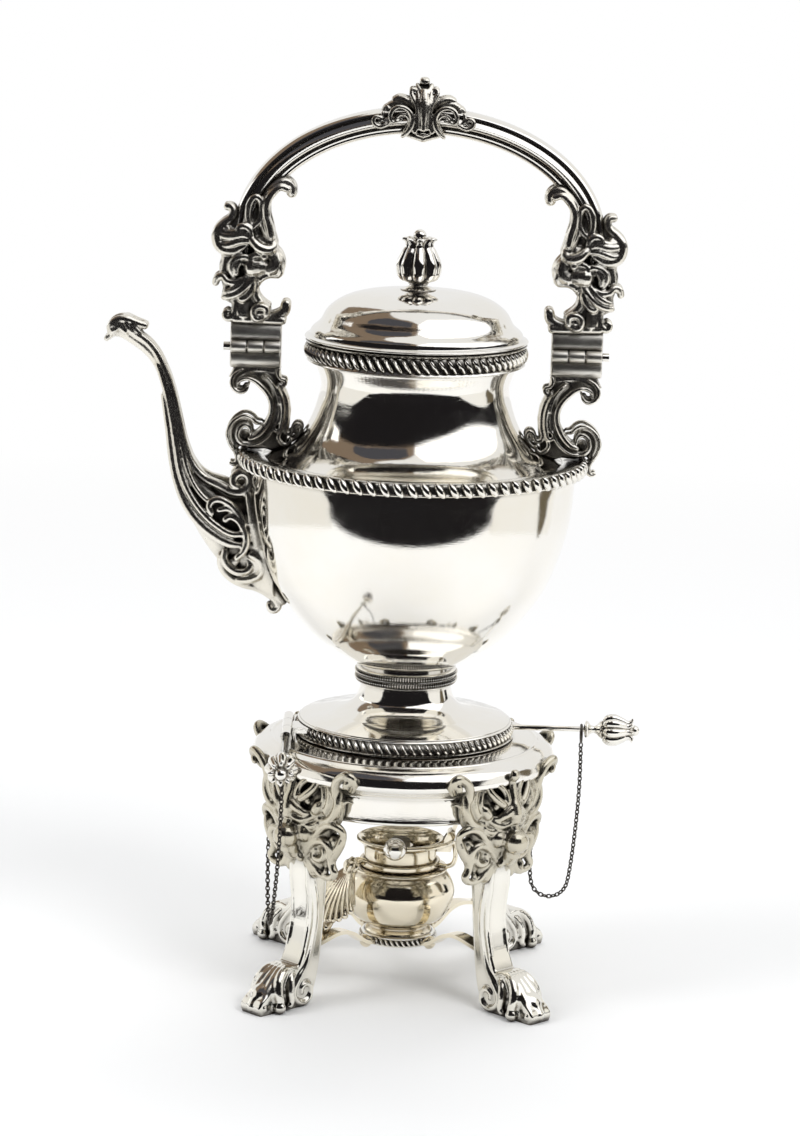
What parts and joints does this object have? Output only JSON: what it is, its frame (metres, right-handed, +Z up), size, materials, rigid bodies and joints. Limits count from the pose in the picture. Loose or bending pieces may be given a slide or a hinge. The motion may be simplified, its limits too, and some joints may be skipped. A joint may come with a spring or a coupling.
{
  "type": "samovar",
  "caption": "Silver-plated tilting kettle with spout, swing handle and lid, hinged on a four-legged stand over a spirit burner, with chained pins.",
  "frame": {"origin": "on the floor, under the middle of the object's box (the chains aside)", "axes": "+Z up, +X to the viewer's right (the lock pin's side; the spout points to -X), -Y toward the viewer"},
  "size_m": [0.26, 0.1964, 0.435],
  "materials": {
    "silver": "polished silver plate",
    "cast_silver": "cast silver plate, dark in the recesses",
    "burner_metal": "worn silver plate with a yellow cast",
    "dark_silver": "tarnished",
    "wick_cotton": "matte cotton"
  },
  "bodies": {
    "stand": {"stand_ring": "silver", "stand_apron": "silver", "leg_front_left": "silver", "leg_front_right": "silver", "leg_back_left": "silver", "leg_back_right": "silver", "leg_mask_front_left": "cast_silver", "leg_mask_front_right": "cast_silver", "leg_mask_back_left": "cast_silver", "leg_mask_back_right": "cast_silver", "burner_support_ring": "silver", "support_arms": "silver", "stand_knuckles": "silver", "lock_barrel": "silver", "chain_eyes": "dark_silver", "hinge_chain": "dark_silver", "lock_chain": "dark_silver"},
    "hinge_pin": {"hinge_pin": "silver", "hinge_pin_bud": "silver", "hinge_chain_ring": "dark_silver"},
    "lock_pin": {"lock_pin": "silver", "lock_pin_bud": "silver", "lock_chain_ring": "dark_silver"},
    "kettle": {"kettle_bowl": "silver", "kettle_neck": "silver", "shoulder_band": "silver", "neck_band": "silver", "kettle_foot": "silver", "foot_band": "silver", "foot_collar": "silver", "foot_knuckle": "silver", "lock_eye": "silver", "spout": "silver", "bracket_left": "silver", "bracket_right": "silver", "lower_leaf_left": "silver", "lower_leaf_right": "silver"},
    "bail": {"upper_leaf_left": "silver", "upper_leaf_right": "silver", "bail_pins": "silver", "bail_arch": "silver", "bail_mask_left": "cast_silver", "bail_mask_right": "cast_silver", "bail_crest": "cast_silver"},
    "lid": {"lid": "silver", "lid_bezel": "silver", "finial_stem": "silver", "lid_finial": "silver", "finial_nut": "silver"},
    "burner": {"burner_pot": "burner_metal", "burner_throat": "burner_metal", "wick_holder": "burner_metal", "wick": "wick_cotton", "snuffer_bracket": "burner_metal", "snuffer_pin": "burner_metal", "burner_handle": "burner_metal"},
    "regulator": {"regulator": "burner_metal", "regulator_knob": "burner_metal"},
    "snuffer": {"snuffer": "burner_metal"}
  },
  "joints": [
    {"name": "kettle_tilt", "type": "hinge", "parent": "stand", "child": "kettle", "pos_m": [-0.03846, 0.0148, 0.127], "axis": [0, -1, 0], "range_deg": [0, 45]},
    {"name": "lid_lift", "type": "slide", "parent": "kettle", "child": "lid", "axis": [0, 0, 1], "range_m": [0, 0.035]},
    {"name": "bail_fold", "type": "hinge", "parent": "kettle", "child": "bail", "pos_m": [0.01704, 0.0088, 0.307], "axis": [1, 0, 0], "range_deg": [0, 110]},
    {"name": "hinge_pin_pull", "type": "slide", "parent": "stand", "child": "hinge_pin", "axis": [0, -1, 0], "range_m": [0, 0.06]},
    {"name": "lock_pin_pull", "type": "slide", "parent": "stand", "child": "lock_pin", "axis": [1, 0, 0], "range_m": [-0.015, 0.06]},
    {"name": "burner_lift", "type": "slide", "parent": "stand", "child": "burner", "axis": [0, 0, 1], "range_m": [0, 0.015]},
    {"name": "regulator_turn", "type": "hinge", "parent": "burner", "child": "regulator", "pos_m": [0.01704, 0.0148, 0.0577], "axis": [0, 0, 1], "range_deg": [-28, 0]},
    {"name": "snuffer_close", "type": "hinge", "parent": "burner", "child": "snuffer", "pos_m": [0.04134, 0.0148, 0.0722], "axis": [0, -1, 0], "range_deg": [0, 110]}
  ]
}
